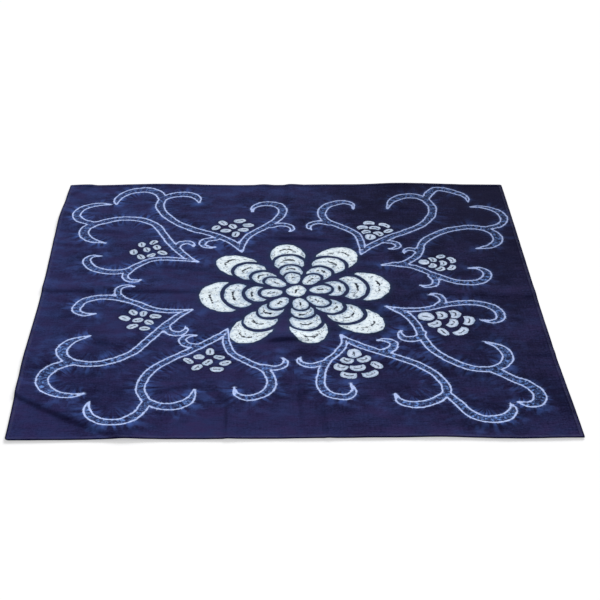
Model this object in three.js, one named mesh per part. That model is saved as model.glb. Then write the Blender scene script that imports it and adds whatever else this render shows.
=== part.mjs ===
// A square cotton tablecloth, spread out on a flat surface, with the folds that it keeps from storage.
// Millimetres, +Z up. X runs to the right and Y to the far edge. The flat underside rests on z = 0,
// and the origin is the middle of the cloth's outline.

import * as THREE from 'three';

// The woven cloth and its hem.
const SIDE = 1100; // finished width and length
const CLOTH_THICKNESS = 1.2; // one layer
const HEM_WIDTH = 9; // border that is turned under and sewn down
const HEM_THICKNESS = 2.4; // three pressed layers
const HEM_SLOPE = 2; // distance over which the turned layers end
const FIELD_CELLS = 44; // grid cells between one hem and the opposite one

const INDIGO = 0x2a2b5a;
const COTTON_ROUGHNESS = 0.95;

const HALF = SIDE / 2;

// Each edge waves in and out of the true square. A row is one crest or dip: its place along the edge,
// from the middle, and how far outward the edge lies there.
const EDGE_WAVES = {
  left: [
    { at: -HALF, out: 2 },
    { at: -270, out: 7 },
    { at: -20, out: 4 },
    { at: 360, out: 8 },
    { at: HALF, out: 0 },
  ],
  right: [
    { at: -HALF, out: -1 },
    { at: -240, out: -5 },
    { at: HALF, out: 0 },
  ],
  near: [
    { at: -HALF, out: 1 },
    { at: -335, out: -2 },
    { at: -110, out: 0 },
    { at: 270, out: -2 },
    { at: 425, out: 4 },
    { at: HALF, out: 2 },
  ],
  far: [
    { at: -HALF, out: -3 },
    { at: -320, out: 1 },
    { at: -95, out: -2 },
    { at: 290, out: 3 },
    { at: HALF, out: -1 },
  ],
};

// The main folds. Each is a soft ridge along a line between two points, bent sideways by bow at its middle.
// Looking from the first point to the second, halfWidth is the reach of its left side and steep that of
// its right side, 0 where both are alike. A fold fades out at an end that isn't open; an open end runs off
// the edge.
const FOLDS = [
  { name: 'near left corner crease', from: [-625, -336], to: [-234, -597], bow: -9,
    halfWidth: 66, height: 4.6, steep: 32, openStart: true, openEnd: true },
  { name: 'crosswise storage fold, left', from: [-580, 21], to: [-90, 13], bow: 0,
    halfWidth: 48, height: 3.2, steep: 30, openStart: true, openEnd: false },
  { name: 'crosswise storage fold, right', from: [250, 8], to: [580, -8], bow: 0,
    halfWidth: 44, height: 2, steep: 30, openStart: false, openEnd: true },
  { name: 'lengthwise storage fold, far', from: [6, 585], to: [8, 330], bow: 0,
    halfWidth: 44, height: 2.4, steep: 30, openStart: true, openEnd: false },
  { name: 'lengthwise storage fold, near', from: [16, -240], to: [22, -580], bow: 0,
    halfWidth: 44, height: 2.6, steep: 30, openStart: false, openEnd: true },
  { name: 'crease beyond the middle', from: [-95, 271], to: [150, 249], bow: 4,
    halfWidth: 60, height: 3.4, steep: 30, openStart: false, openEnd: false },
  { name: 'crease left of the middle', from: [-345, 133], to: [-185, 124], bow: 0,
    halfWidth: 54, height: 2.4, steep: 30, openStart: false, openEnd: false },
  { name: 'crease before the middle', from: [-80, -206], to: [50, -198], bow: 14,
    halfWidth: 54, height: 4.6, steep: 30, openStart: false, openEnd: false },
  { name: 'near edge wave, left', from: [-337, -590], to: [-318, -390], bow: 0,
    halfWidth: 95, height: 3, steep: 0, openStart: true, openEnd: false },
  { name: 'near edge wave, right', from: [270, -590], to: [262, -410], bow: 0,
    halfWidth: 80, height: 2.8, steep: 0, openStart: true, openEnd: false },
  { name: 'far edge wave, left', from: [-320, 590], to: [-300, 400], bow: 0,
    halfWidth: 130, height: 3.6, steep: 0, openStart: true, openEnd: false },
  { name: 'far edge wave, right', from: [290, 590], to: [280, 380], bow: 0,
    halfWidth: 150, height: 4.6, steep: 0, openStart: true, openEnd: false },
  { name: 'left edge wave, far', from: [-590, 360], to: [-420, 338], bow: 0,
    halfWidth: 100, height: 3, steep: 0, openStart: true, openEnd: false },
  { name: 'left edge wave, near', from: [-590, -268], to: [-430, -260], bow: 0,
    halfWidth: 84, height: 2.6, steep: 0, openStart: true, openEnd: false },
];
const END_FADE = 0.4; // share of a fold's run over which an end fades out

const UNDERSIDE = 0;
const TOP = 1;

// 1 at the middle, falling smoothly to 0 at a distance of 1 either side.
function softBump(distance) {
  const room = Math.max(0, 1 - distance * distance);
  return room * room;
}

function endFade(share, isOpen) {
  return isOpen ? 1 : THREE.MathUtils.smoothstep(share, 0, END_FADE);
}

// How far one fold lifts the cloth off the surface at a point.
function foldLift(fold, point) {
  const start = new THREE.Vector2(...fold.from);
  const run = new THREE.Vector2(...fold.to).sub(start);
  const reach = point.clone().sub(start);
  const share = reach.dot(run) / run.lengthSq();
  if (share <= 0 || share >= 1) {
    return 0;
  }
  const sideways = run.cross(reach) / run.length() - 4 * fold.bow * share * (1 - share);
  const side = sideways < 0 && fold.steep > 0 ? fold.steep : fold.halfWidth;
  const ends = endFade(share, fold.openStart) * endFade(1 - share, fold.openEnd);
  return fold.height * softBump(sideways / side) * ends;
}

function liftAt(point) {
  return FOLDS.reduce((lift, fold) => lift + foldLift(fold, point), 0);
}

// How far outward an edge strays, easing from each crest or dip to the next.
function edgeWave(rows, at) {
  const next = Math.max(1, rows.findIndex((row) => row.at >= at));
  const before = rows[next - 1];
  const after = rows[next];
  const ease = THREE.MathUtils.smoothstep(at, before.at, after.at);
  return THREE.MathUtils.lerp(before.out, after.out, ease);
}

// The place of a point of the true square once its edges wave.
function wavedPlace(x, y) {
  const left = -HALF - edgeWave(EDGE_WAVES.left, y);
  const right = HALF + edgeWave(EDGE_WAVES.right, y);
  const near = -HALF - edgeWave(EDGE_WAVES.near, x);
  const far = HALF + edgeWave(EDGE_WAVES.far, x);
  return new THREE.Vector2(
    THREE.MathUtils.mapLinear(x, -HALF, HALF, left, right),
    THREE.MathUtils.mapLinear(y, -HALF, HALF, near, far),
  );
}

function thicknessAt(x, y) {
  const inset = HALF - Math.max(Math.abs(x), Math.abs(y));
  return inset < HEM_WIDTH + HEM_SLOPE / 2 ? HEM_THICKNESS : CLOTH_THICKNESS;
}

// Grid lines from edge to edge: the hem's fold, its sewn side, and an even field between the hems.
function gridLines() {
  const field = HALF - HEM_WIDTH - HEM_SLOPE;
  const lines = [-HALF, -HALF + HEM_WIDTH];
  for (let cell = 0; cell <= FIELD_CELLS; cell++) {
    lines.push(THREE.MathUtils.lerp(-field, field, cell / FIELD_CELLS));
  }
  lines.push(HALF - HEM_WIDTH, HALF);
  return lines;
}

// The closed sheet: its underside and top on one grid, joined by a rim.
function clothGeometry() {
  const lines = gridLines();
  const cells = lines.length - 1;
  const positions = [];
  for (const layer of [UNDERSIDE, TOP]) {
    for (const y of lines) {
      for (const x of lines) {
        const place = wavedPlace(x, y);
        const rise = layer === TOP ? thicknessAt(x, y) : 0;
        positions.push(place.x, place.y, liftAt(place) + rise);
      }
    }
  }

  const vertex = (layer, row, column) => (layer * lines.length + row) * lines.length + column;
  const height = (corner) => positions[3 * corner + 2];
  const triangles = [];
  const addQuad = (a, b, c, d) => triangles.push(a, b, c, a, c, d);

  for (let row = 0; row < cells; row++) {
    for (let column = 0; column < cells; column++) {
      for (const layer of [UNDERSIDE, TOP]) {
        const ring = [
          vertex(layer, row, column),
          vertex(layer, row, column + 1),
          vertex(layer, row + 1, column + 1),
          vertex(layer, row + 1, column),
        ];
        // The cell is cut along its flatter diagonal, so that the folds run smoothly.
        const [a, b, c, d] = ring.map(height);
        if (Math.abs(b - d) < Math.abs(a - c)) {
          ring.push(ring.shift());
        }
        addQuad(...(layer === TOP ? ring : ring.reverse()));
      }
    }
  }

  for (let cell = 0; cell < cells; cell++) {
    const edges = [
      [[0, cell], [0, cell + 1]],
      [[cell, cells], [cell + 1, cells]],
      [[cells, cell + 1], [cells, cell]],
      [[cell + 1, 0], [cell, 0]],
    ];
    for (const [from, to] of edges) {
      addQuad(vertex(UNDERSIDE, ...from), vertex(UNDERSIDE, ...to), vertex(TOP, ...to), vertex(TOP, ...from));
    }
  }

  const sheet = new THREE.BufferGeometry();
  sheet.setAttribute('position', new THREE.Float32BufferAttribute(positions, 3));
  sheet.setIndex(triangles);
  sheet.computeBoundingBox();
  const middle = sheet.boundingBox.getCenter(new THREE.Vector3());
  sheet.translate(-middle.x, -middle.y, 0);
  sheet.computeVertexNormals();
  return sheet;
}

function makeTablecloth() {
  const cotton = new THREE.MeshStandardMaterial({ color: INDIGO, roughness: COTTON_ROUGHNESS, metalness: 0 });
  const tablecloth = new THREE.Mesh(clothGeometry(), cotton);
  tablecloth.name = 'tablecloth';
  return tablecloth;
}

const part = new THREE.Group();
part.add(makeTablecloth());

export default part;
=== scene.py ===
"""A square indigo tablecloth with a stitched-resist flower, scrolls and seeds, spread on a pale floor.

The cloth is a thin closed sheet that lies on its solid's folds. Its pattern is charted on the flat cloth, in
millimetres from the cloth's middle, and reaches the dye material as attributes of the sheet's mesh.
"""

import math
from typing import NamedTuple

import bpy
import numpy as np
from bpy.props import FloatProperty, FloatVectorProperty, IntProperty, PointerProperty
from mathutils import Matrix, Vector, noise


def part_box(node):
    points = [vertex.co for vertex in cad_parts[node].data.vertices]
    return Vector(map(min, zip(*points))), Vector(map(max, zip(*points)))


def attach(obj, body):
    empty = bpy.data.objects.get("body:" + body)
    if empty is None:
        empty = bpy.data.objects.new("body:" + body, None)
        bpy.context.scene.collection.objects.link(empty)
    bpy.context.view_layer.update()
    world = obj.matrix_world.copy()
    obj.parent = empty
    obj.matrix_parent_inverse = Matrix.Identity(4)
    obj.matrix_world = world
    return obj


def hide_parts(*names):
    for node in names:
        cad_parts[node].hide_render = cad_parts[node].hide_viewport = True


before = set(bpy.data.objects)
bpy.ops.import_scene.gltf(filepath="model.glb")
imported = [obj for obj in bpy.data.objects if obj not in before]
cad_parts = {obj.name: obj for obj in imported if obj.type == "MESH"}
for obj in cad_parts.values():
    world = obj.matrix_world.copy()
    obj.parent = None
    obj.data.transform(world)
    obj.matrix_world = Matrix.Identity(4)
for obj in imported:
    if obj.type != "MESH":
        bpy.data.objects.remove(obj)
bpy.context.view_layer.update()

bl_info = {
    "name": "Indigo Tablecloth",
    "version": (1, 0, 0),
    "blender": (4, 5, 0),
    "location": "3D View > Sidebar > Tablecloth",
    "description": "Lays, dyes and hems a square stitched-resist tablecloth",
    "category": "Object",
}

CLOTH_NODE = "tablecloth"
MM = 0.001


# The cloth's lie: edges and folds, in millimetres on the spread cloth


class EdgeWave(NamedTuple):
    """One crest or dip of an edge: its place from the edge's middle, and how far outward it lies."""

    at: float
    out: float


EDGE_WAVES = {
    "left": (EdgeWave(-550, 2), EdgeWave(-270, 7), EdgeWave(-20, 4), EdgeWave(360, 8), EdgeWave(550, 0)),
    "right": (EdgeWave(-550, -1), EdgeWave(-240, -5), EdgeWave(550, 0)),
    "near": (
        EdgeWave(-550, 1), EdgeWave(-335, -1), EdgeWave(-110, 0),
        EdgeWave(270, -2), EdgeWave(425, 4), EdgeWave(550, 2),
    ),
    "far": (EdgeWave(-550, -3), EdgeWave(-320, 1), EdgeWave(-95, -2), EdgeWave(312, 2), EdgeWave(550, -1)),
}
CORNER_RADII = {("left", "near"): 9.0, ("left", "far"): 3.0, ("right", "near"): 2.5, ("right", "far"): 6.0}
OUTLINE_POINTS = 1101  # points along each edge that find the outline's box


class Fold(NamedTuple):
    """A soft ridge along a line that bends by bow at its middle.

    Looking from start to end, half_width is the reach of its left side and steep that of its right side, 0
    where both are alike. It fades out at an end that isn't open; an open end runs off the cloth.
    """

    start: tuple
    end: tuple
    bow: float
    half_width: float
    height: float
    steep: float = 0
    open_start: bool = False
    open_end: bool = False


FOLDS = {
    "near left corner crease": Fold((-625, -336), (-268, -581), -9, 56, 4.4, 15, True),
    "crosswise storage fold, left": Fold((-580, 21), (-90, 13), 0, 42, 3.4, 17, True),
    "crosswise storage fold, right": Fold((250, 8), (580, -8), 0, 44, 2.2, 26, False, True),
    "lengthwise storage fold, far": Fold((6, 585), (8, 330), 0, 40, 2.4, 16, True),
    "lengthwise storage fold, near": Fold((12, -240), (17, -566), 0, 36, 2.4, 9),
    "crease beyond the middle": Fold((-95, 271), (150, 249), 4, 56, 3.6, 16),
    "crease left of the middle": Fold((-345, 133), (-185, 124), 0, 50, 2.4, 17),
    "crease before the middle": Fold((-80, -206), (50, -198), 14, 50, 5.4, 15),
    "near edge wave, left": Fold((-337, -590), (-318, -390), 0, 95, 0.6, 0, True),
    "near edge wave, right": Fold((270, -590), (262, -410), 0, 80, 0.7, 0, True),
    "far edge wave, left": Fold((-320, 590), (-300, 400), 0, 130, 2.6, 0, True),
    "far edge wave, right": Fold((312, 590), (302, 380), 0, 150, 3.2, 0, True),
    "left edge wave, far": Fold((-590, 360), (-420, 338), 0, 100, 3.0, 0, True),
    "left edge wave, near": Fold((-590, -268), (-430, -260), 0, 84, 2.6, 0, True),
}
# Lesser creases, which only the thin cloth shows.
CREASES = {
    "left, above the crosswise fold": Fold((-470, 307), (-370, 294), 0, 34, 1.8, 12),
    "left, below the crosswise fold": Fold((-455, -194), (-335, -220), 5, 38, 2.4, 13),
    "near left, inside the curl": Fold((-300, -396), (-175, -352), 4, 40, 2.6, 13),
    "near left, by the seeds": Fold((-275, -273), (-205, -281), 0, 32, 2.0, 12),
    "near edge, left pressed line": Fold((-129, -350), (-135, -592), 0, 22, 2.2, 7),
    "near edge, right pressed line": Fold((56, -370), (60, -588), 0, 20, 1.8, 7),
    "near right, under the horns": Fold((300, -520), (430, -505), 6, 40, 1.8, 15),
    "far left corner": Fold((-590, 430), (-450, 590), 12, 46, 2.6, 15, True, True),
    "far left, below the corner": Fold((-575, 250), (-470, 224), 0, 36, 1.8, 14, True),
    "far edge, slanting ridge": Fold((-48, 560), (-130, 450), 0, 22, 1.6, 0, True),
    "far right, inside the curl": Fold((250, 430), (345, 408), 0, 36, 1.6, 14),
    "right edge, slanting ridge": Fold((486, 232), (528, 150), 0, 20, 1.4, 0),
    "right edge, crosswise ridge": Fold((420, -252), (590, -258), 0, 26, 1.6, 13, False, True),
}
END_FADE = 0.4  # share of a fold's run over which an end fades out


class Ripple(NamedTuple):
    """One size of the cloth's unevenness: its grain across and along, its layer of noise and its share."""

    across: float
    along: float
    layer: float
    share: float


RIPPLES = (Ripple(75, 52, 3.7, 0.9), Ripple(26, 19, 9.1, 0.35))
RIPPLE_LEVEL = 0.25  # height of the ripples' middle above the surface, as a share of the ripple's height


class HemRow(NamedTuple):
    """The hem's section at a distance from the edge: its top and underside as shares of its thickness."""

    inset: float
    top: float
    under: float


HEM_SECTION = (
    HemRow(0.0, 0.62, 0.38),
    HemRow(0.3, 0.90, 0.10),
    HemRow(1.0, 1.00, 0.0),
    HemRow(4.0, 1.06, 0.0),
    HemRow(6.2, 0.98, 0.0),
    HemRow(7.0, 0.80, 0.0),
    HemRow(7.8, 0.96, 0.0),
    HemRow(8.8, 0.88, 0.0),
)
RISE_REACH = 34.0  # distance from the edge over which the stiff hem holds the cloth off the surface
RISE_GRAIN = 110.0  # length of that rise's unevenness along the hem
RISE_LAYER = 21.3  # the layer of noise that it is taken from
RISE_LEVEL = 0.85  # its middle, its swing and the least that it falls to, as shares of the hem's rise
RISE_SWING = 0.35
RISE_LEAST = 0.2
PUCKER_GRAIN = 9.0  # length of the puckers along the hem
PUCKER_LAYER = 0.4  # the layer of noise that they are taken from
PUCKER_INSET = 7.0  # distance of their middle from the edge
PUCKER_REACH = 9.0  # how far they spread either side of it
FIELD_MARGIN = 2.0  # width of the one cell between the hem and the field's even cells


class StitchRing(NamedTuple):
    """A ring of a stitch: its place in half-lengths, and its girth and height in thread radii."""

    along: float
    girth: float
    height: float


STITCH_RINGS = (
    StitchRing(-1.0, 0.45, -1.1),
    StitchRing(-0.62, 0.95, 0.2),
    StitchRing(0.62, 0.95, 0.2),
    StitchRing(1.0, 0.45, -1.1),
)
STITCH_SIDES = 5  # sides of the thread's round


# The pattern's charts, in millimetres on the flat cloth


class Petal(NamedTuple):
    """One petal: its root's bearing, how far that turns by its tip, its reach and its outer half-width."""

    bearing: float
    sweep: float
    reach: float
    half_width: float


PETALS = (
    Petal(97, -2, 221, 41),
    Petal(54, 4, 236, 48),
    Petal(6, 1, 212, 63),
    Petal(-43, -1, 247, 48),
    Petal(-83, 2, 222, 41),
    Petal(-130, 13, 250, 43),
    Petal(187, 2, 217, 66),
    Petal(141, -4, 232, 45),
)


class Lobe(NamedTuple):
    """One lobe of every petal. All columns but the last two are shares of the petal's reach.

    tip and widest are levels of the lobe's outline, horn is where its two lower ends stand, and bite is the
    top of the round hollow between them, 0 for a whole lobe. flare is the share of the petal's own width, and
    chord the hollow's width at the horns as a share of the lobe's.
    """

    tip: float
    widest: float
    horn: float
    bite: float
    flare: float
    chord: float


LOBES = (
    Lobe(0.372, 0.285, 0.140, 0.0, 0.0, 0.0),
    Lobe(0.528, 0.400, 0.320, 0.400, 0.34, 0.80),
    Lobe(0.746, 0.577, 0.485, 0.563, 0.72, 0.77),
    Lobe(1.000, 0.720, 0.662, 0.784, 1.0, 0.92),
)
DISC_TURN = 1.2  # the flower's centre is slightly long, along this angle in radians
DISC_LENGTH = 1.06  # its half-length and half-width as shares of its radius
DISC_WIDTH = 0.94


class Fan(NamedTuple):
    """A scroll's seeds: their chart and the place that they fan out from, across and along the scroll.

    bearing is the fan's direction and tumble how far its seeds lean to and fro in turn, both in degrees.
    reach and size scale the fan and its seeds.
    """

    chart: str
    across: float
    along: float
    bearing: float
    reach: float
    size: float
    tumble: float


class Scroll(NamedTuple):
    """One scroll, its tip and fork on the cloth in millimetres, and how it differs from the charted strokes.

    hand is the side of its short arm. lean pushes the long arm sideways near the tip and bow scales its bend.
    arm, inner and outer scale the short arm and the fork's two horns, across and along; arm then gives how
    far the short arm sags, and outer the horn's weight. hook and thorn place the side curls, in the scroll's
    own frame, with the thorn's size.
    """

    tip: tuple
    fork: tuple
    hand: int
    lean: float
    bow: float
    arm: tuple
    hook: tuple
    thorn: tuple
    inner: tuple
    horn: str
    outer: tuple
    seeds: Fan


SCROLLS = {
    "far left": Scroll(
        (-105, 194), (-311, 474), 1, 6, 0.78, (1.10, 0.92, 0), (124, 62), (-10, 86, 0.95),
        (0.98, 0.78), "round", (1.0, 0.88, 1.0), Fan("ovals", 24, 58, 56, 0.89, 0.94, 12),
    ),
    "left far": Scroll(
        (-206, 144), (-466, 337), -1, -16, 1.75, (0.91, 1.20, -18), (126, 104), (-25, 86, 0.9),
        (0.93, 1.0), "round", (1.05, 0.92, 0.9), Fan("ovals", 4, 75, 66, 0.92, 0.91, -24),
    ),
    "far right": Scroll(
        (170, 179), (348, 466), -1, -6, 1.06, (1.03, 1.16, -13), (138, 96), (-20, 84, 0.80),
        (0.93, 1.05), "square", (1.0, 1.0, 0.9), Fan("scales", 16, 66, 74, 0.88, 0.91, 5),
    ),
    "right far": Scroll(
        (212, 126), (482, 312), 1, 24, 0.90, (1.02, 1.0, 0), (106, 64), (8, 108, 0.74),
        (1.06, 1.0), "round", (1.09, 0.96, 0.75), Fan("scales", 32, 78, 48, 0.84, 0.87, -4),
    ),
    "left near": Scroll(
        (-212, -68), (-453, -280), 1, -11, 1.14, (1.05, 1.08, 0), (146, 88), (-20, 90, 1.0),
        (0.98, 1.05), "round", (1.12, 1.10, 1.15), Fan("ovals", 22, 58, 66, 0.91, 0.95, 30),
    ),
    "near left": Scroll(
        (-133, -148), (-290, -428), -1, -10, 1.05, (1.06, 1.18, -10), (143, 96), (-18, 92, 1.0),
        (1.02, 1.0), "round", (1.02, 1.17, 0.95), Fan("ovals", 2, 78, 58, 0.95, 0.95, 0),
    ),
    "right near": Scroll(
        (210, -58), (416, -312), -1, 8, 0.94, (1.0, 1.08, 0), (88, 73), (-12, 134, 1.12),
        (1.05, 1.0), "long", (0.74, 1.0, 1.05), Fan("scales", 24, 66, 62, 1.16, 1.20, 4),
    ),
    "near right": Scroll(
        (107, -176), (308, -405), 1, -4, 0.82, (1.03, 1.05, 16), (114, 58), (-14, 112, 1.15),
        (1.36, 0.88), "long", (1.13, 1.0, 1.0), Fan("scales", 16, 56, 52, 1.14, 1.20, 0),
    ),
}


class StrokePoint(NamedTuple):
    """A point of a stroke in its scroll's frame: along from tip to fork, across to the short arm's side."""

    across: float
    along: float
    half_width: float


def stroke(*rows):
    """A stroke from its rows of across, along and half-width."""
    return tuple(StrokePoint(*row) for row in rows)


FORK = StrokePoint(-2, 326, 9)
LONG_ARM = stroke(
    (0, 0, 0.6), (4, 26, 6), (4, 54, 8.5), (-10, 104, 8.5), (-34, 154, 8.5),
    (-50, 206, 8.5), (-49, 256, 9), (-32, 300, 9), FORK,
)
SHORT_ARM = stroke(
    (0, 0, 0.6), (20, 34, 7), (56, 61, 7.5), (105, 74, 8), (146, 90, 8.5),
    (176, 118, 9.5), (184, 152, 10), (165, 181, 9), (138, 181, 5.5), (122, 160, 0.6),
)
INNER_HORN = stroke(FORK, (30, 328, 10.5), (58, 311, 11.5), (70, 278, 8.5), (60, 240, 0.6))
OUTER_HORNS = {
    "round": stroke(
        FORK, (5, 364, 10.5), (-7, 398, 11), (-38, 417, 11), (-70, 413, 9), (-92, 395, 6), (-102, 374, 0.6)
    ),
    "square": stroke(
        FORK, (6, 362, 10.5), (3, 394, 10), (-26, 406, 10), (-60, 405, 8.5), (-82, 394, 5), (-95, 376, 0.6)
    ),
    "long": stroke(
        FORK, (6, 370, 9.5), (15, 410, 11), (6, 445, 12), (-26, 465, 12), (-56, 459, 8.5), (-71, 437, 0.6)
    ),
}
# Side curls, from the place where they leave an arm.
THORN = stroke((0, 0, 6.5), (-24, 9, 8.5), (-44, -4, 7.5), (-40, -24, 4.5), (-27, -33, 0.6))
SIDE_HOOK = stroke((0, 0, 6.5), (24, -5, 7.5), (37, -24, 6.5), (31, -42, 4), (18, -49, 0.6))
STROKE_STEPS = 7  # straight steps between two points of a stroke
STROKE_SHIFT = 97.0  # run added from one stroke to the next, so that their beads differ
LEAN_ALONG = 78.0  # where a long arm's lean is greatest; it dies away by twice that
SAG_ACROSS = 80.0  # where a short arm's sag is greatest; it dies away by twice that


class Seed(NamedTuple):
    """A seed of a fan: its distance and bearing from the fan's root, its lean and its half-sizes.

    tail is the half-length of its inner end, and hollow the depth of the round hollow there, 0 for a whole
    seed. Bearing and lean are in degrees.
    """

    distance: float
    bearing: float
    lean: float
    half_length: float
    half_width: float
    tail: float
    hollow: float


SEED_CHARTS = {
    "ovals": (
        Seed(30, 0, 0, 12, 10, 17, 0),
        Seed(55, 27, 64, 14, 9.5, 13, 0),
        Seed(56, -21, -58, 13, 9, 14, 0),
        Seed(82, 37, 96, 14, 9, 14, 0),
        Seed(72, 5, 32, 14, 10, 13, 0),
        Seed(83, -24, -84, 14, 9.5, 15, 0),
        Seed(98, 19, 24, 13, 10, 16, 0),
        Seed(102, -7, -78, 16, 10.5, 15, 0),
    ),
    "scales": (
        Seed(26, 0, 0, 14, 14, 17, 0),
        Seed(51, 20, 8, 11, 14, 15, 2),
        Seed(52, -19, -6, 12, 13, 15, 2),
        Seed(80, 29, 4, 15, 9, 14, 0),
        Seed(77, 1, 4, 11, 15, 15, 2.5),
        Seed(78, -24, -8, 12, 14, 15, 2),
        Seed(103, 13, 10, 11, 17, 15, 3),
        Seed(103, -11, -8, 12, 16, 15, 3),
    ),
}
HOLLOW_CHORD = 0.8  # width of a seed's hollow as a share of the seed's
SEED_SLIT = 0.44  # length of a seed's dark slit as a share of the seed's
PETAL_SLIT = 0.34  # length of a lobe's dark slit as a share of the lobe's width

FORK_ALONG = 332  # a scroll's charted distance from tip to fork
FAR_GAP = 120.0  # a gap that is too wide to matter
NO_BITE = -1000.0  # stands for a bite's radius and gap where a patch is whole

# The bake map, in shares of its side: squares for the top and the underside, and strips for the rim.
BAKE_MARGIN = 0.004
BAKE_TOP = 0.720
BAKE_UNDER = 0.258
BAKE_UNDER_LEFT = 0.735
BAKE_RIM = 0.740
BAKE_RIM_PITCH = 0.014
BAKE_RIM_WIDTH = 0.008


# Settings


def srgb(code):
    """The linear colour of a web colour such as 0x2E3059."""
    shares = [(code >> shift & 255) / 255 for shift in (16, 8, 0)]
    return tuple(s / 12.92 if s <= 0.04045 else ((s + 0.055) / 1.055) ** 2.4 for s in shares)


def length_setting(name, description, default):
    """A size in metres."""
    return FloatProperty(
        name=name, description=description, default=default, min=0.0, unit="LENGTH", precision=5
    )


def place_setting(name, description, default):
    """A place along one axis, in metres."""
    return FloatProperty(name=name, description=description, default=default, unit="LENGTH")


def angle_setting(name, description, degrees):
    """An angle, given here in degrees."""
    return FloatProperty(name=name, description=description, default=math.radians(degrees), subtype="ANGLE")


def strength_setting(name, description, default):
    """A light's strength."""
    return FloatProperty(name=name, description=description, default=default, min=0.0)


def colour_setting(name, description, code):
    """A colour, given here as a web colour."""
    return FloatVectorProperty(
        name=name, description=description, default=srgb(code), size=3, min=0.0, max=1.0, subtype="COLOR"
    )


class ClothSizes(bpy.types.PropertyGroup):
    """Sizes of the woven cloth and its hem."""

    side: length_setting("Side", "Finished width and length of the square cloth", 1.10)
    thickness: length_setting("Thickness", "Thickness of one layer", 0.0009)
    hem_width: length_setting("Hem Width", "Border that is turned under and sewn down", 0.0096)
    hem_thickness: length_setting("Hem Thickness", "Thickness of the hem's three layers", 0.0017)
    hem_rise: length_setting("Hem Rise", "Height that the stiff hem stands off the surface", 0.0018)
    field_cells: IntProperty(
        name="Field Cells", description="Mesh cells between one hem and the opposite one", default=202, min=20
    )
    ripple: length_setting("Ripple", "Height of the cloth's fine unevenness", 0.0010)
    pucker: length_setting("Pucker", "Height of the puckers along the hem", 0.0005)
    stitch_inset: length_setting("Stitch Inset", "Distance of the seam from the edge", 0.0070)
    stitch_pitch: length_setting("Stitch Pitch", "Distance from one stitch to the next", 0.0032)
    stitch_length: length_setting("Stitch Length", "Length of one stitch on the face", 0.0025)
    thread: length_setting("Thread", "Diameter of the sewing thread", 0.0004)


class PatternSizes(bpy.types.PropertyGroup):
    """Sizes of the resist pattern on the flat cloth."""

    flower_x: place_setting("Flower X", "Flower's place to the right of the middle", 0.0155)
    flower_y: place_setting("Flower Y", "Flower's place beyond the middle", 0.0110)
    disc_radius: length_setting("Disc Radius", "Radius of the flower's centre", 0.0235)
    root_width: length_setting("Root Width", "Half-width of the innermost lobe of a petal", 0.0180)
    line_width: length_setting("Line Width", "Width of the stitched lines along the scrolls", 0.0037)


class DyeColours(bpy.types.PropertyGroup):
    """Colours of the dyed and the undyed cotton, and of the shade painted into the creases and onto the hem's
    rim.
    """

    ground: colour_setting("Ground", "Indigo ground", 0x272C57)
    violet: colour_setting("Violet", "Ground where the dye has turned violet", 0x2D2752)
    # This colour is laid in a paler, patchy band along the hem's ridge.
    pale_ridge: colour_setting("Pale Ridge", "Hem that is rubbed pale", 0x5C5F80)
    # This colour is the dye that has pooled, and also the colour of the painted shade along the creases and
    # on the hem's rim.
    deep_dye_and_shade: colour_setting("Deep", "Ground where the dye has pooled", 0x0B0B2B)
    halo: colour_setting("Halo", "Ground that the gathered stitches kept half dyed", 0x4664AC)
    band: colour_setting("Band", "Lighter dye between a scroll's two lines", 0x6A8ED2)
    line: colour_setting("Line", "Undyed stitched line", 0xB6C8F7)
    white: colour_setting("White", "Undyed cotton of petals and seeds", 0xE8F3F9)
    seed: colour_setting("Seed", "Bluish undyed cotton of the seeds", 0xCAD6F2)
    tint: colour_setting("Tint", "Thin dye that has crept into the petals and seeds", 0x9FB3CE)
    crack: colour_setting("Crack", "Dye in the cracks of petals and seeds", 0x141C2C)
    seep: colour_setting("Seep", "Greenish dye between the petals' lobes", 0x223A50)
    thread: colour_setting("Thread", "Sewing thread of the hem", 0x25274C)


class StudioSettings(bpy.types.PropertyGroup):
    """Camera, lights and floor."""

    camera_x: place_setting("Camera X", "Camera's place sideways", -0.064)
    camera_y: place_setting("Camera Y", "Camera's place in depth", -2.763)
    camera_z: place_setting("Camera Z", "Camera's height", 1.607)
    pitch: angle_setting("Pitch", "Camera's tilt below level", 30.41)
    yaw: angle_setting("Yaw", "Camera's turn to the right", 1.82)
    roll: angle_setting("Roll", "Camera's lean", 0.73)
    lens: FloatProperty(name="Lens", description="Focal length", default=86.2, unit="CAMERA")
    floor_side: length_setting("Floor Side", "Side of the square floor", 60.0)
    floor_drop: length_setting("Floor Drop", "Gap between the cloth's underside and the floor", 0.0004)
    floor_colour: colour_setting("Floor", "Pale floor", 0xBDBDBF)
    floor_glow: strength_setting("Floor Glow", "Light that the pale floor gives by itself", 0.50)
    sky: strength_setting("Sky", "Strength of the light from all round", 0.37)
    lamp: strength_setting("Lamp", "Strength of the soft lamp", 4.7)
    lamp_spread: angle_setting("Lamp Spread", "Angle that the soft lamp fills", 26)
    lamp_height: angle_setting("Lamp Height", "Lamp's angle above level", 26)
    lamp_bearing: angle_setting("Lamp Bearing", "Side that the lamp stands on, from X", 70)


# Shapes of the lying cloth


def soft_bump(distance):
    """1 at the middle, falling smoothly to 0 at a distance of 1 either side."""
    return np.clip(1 - distance**2, 0, None) ** 2


def smooth_step(value, low, high):
    """0 up to low, 1 from high, with a smooth change between."""
    share = np.clip((value - low) / (high - low), 0, 1)
    return share * share * (3 - 2 * share)


def edge_wave(rows, at):
    """How far outward an edge strays, easing from each crest or dip to the next."""
    places = np.array([row.at for row in rows])
    outs = np.array([row.out for row in rows])
    after = np.clip(np.searchsorted(places, at), 1, len(rows) - 1)
    ease = smooth_step(at, places[after - 1], places[after])
    return outs[after - 1] + (outs[after] - outs[after - 1]) * ease


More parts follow.
